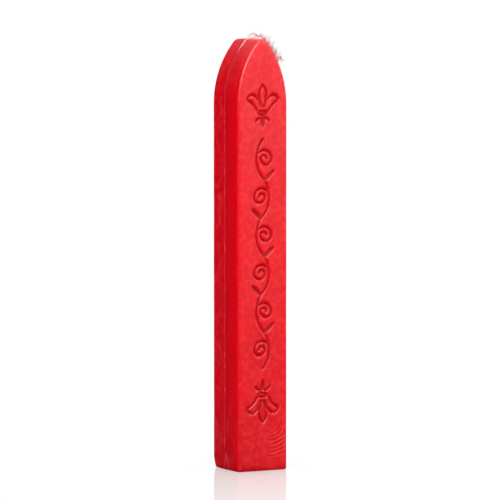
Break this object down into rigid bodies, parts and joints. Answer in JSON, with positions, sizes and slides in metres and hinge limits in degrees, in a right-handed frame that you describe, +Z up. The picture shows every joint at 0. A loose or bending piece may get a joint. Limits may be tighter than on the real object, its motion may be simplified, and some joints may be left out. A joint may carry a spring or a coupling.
{
  "type": "sealing wax stick",
  "caption": "Square sealing wax stick with a pointed arch top, carved front, side seams and a bent cotton wick tail; lit to drip wax for a seal.",
  "frame": {"origin": "middle of the base, on the parting plane between the two wax halves", "axes": "+Z up the stick towards the wick, carved front face towards -Y, +X to the right of someone looking at the front"},
  "size_m": [0.0133, 0.0114, 0.0916],
  "materials": {
    "wax": "satin red wax",
    "cotton": "plaited white cotton"
  },
  "bodies": {
    "root": {"wax_front_half": "wax", "wax_back_half": "wax", "wick": "cotton"}
  },
  "joints": []
}
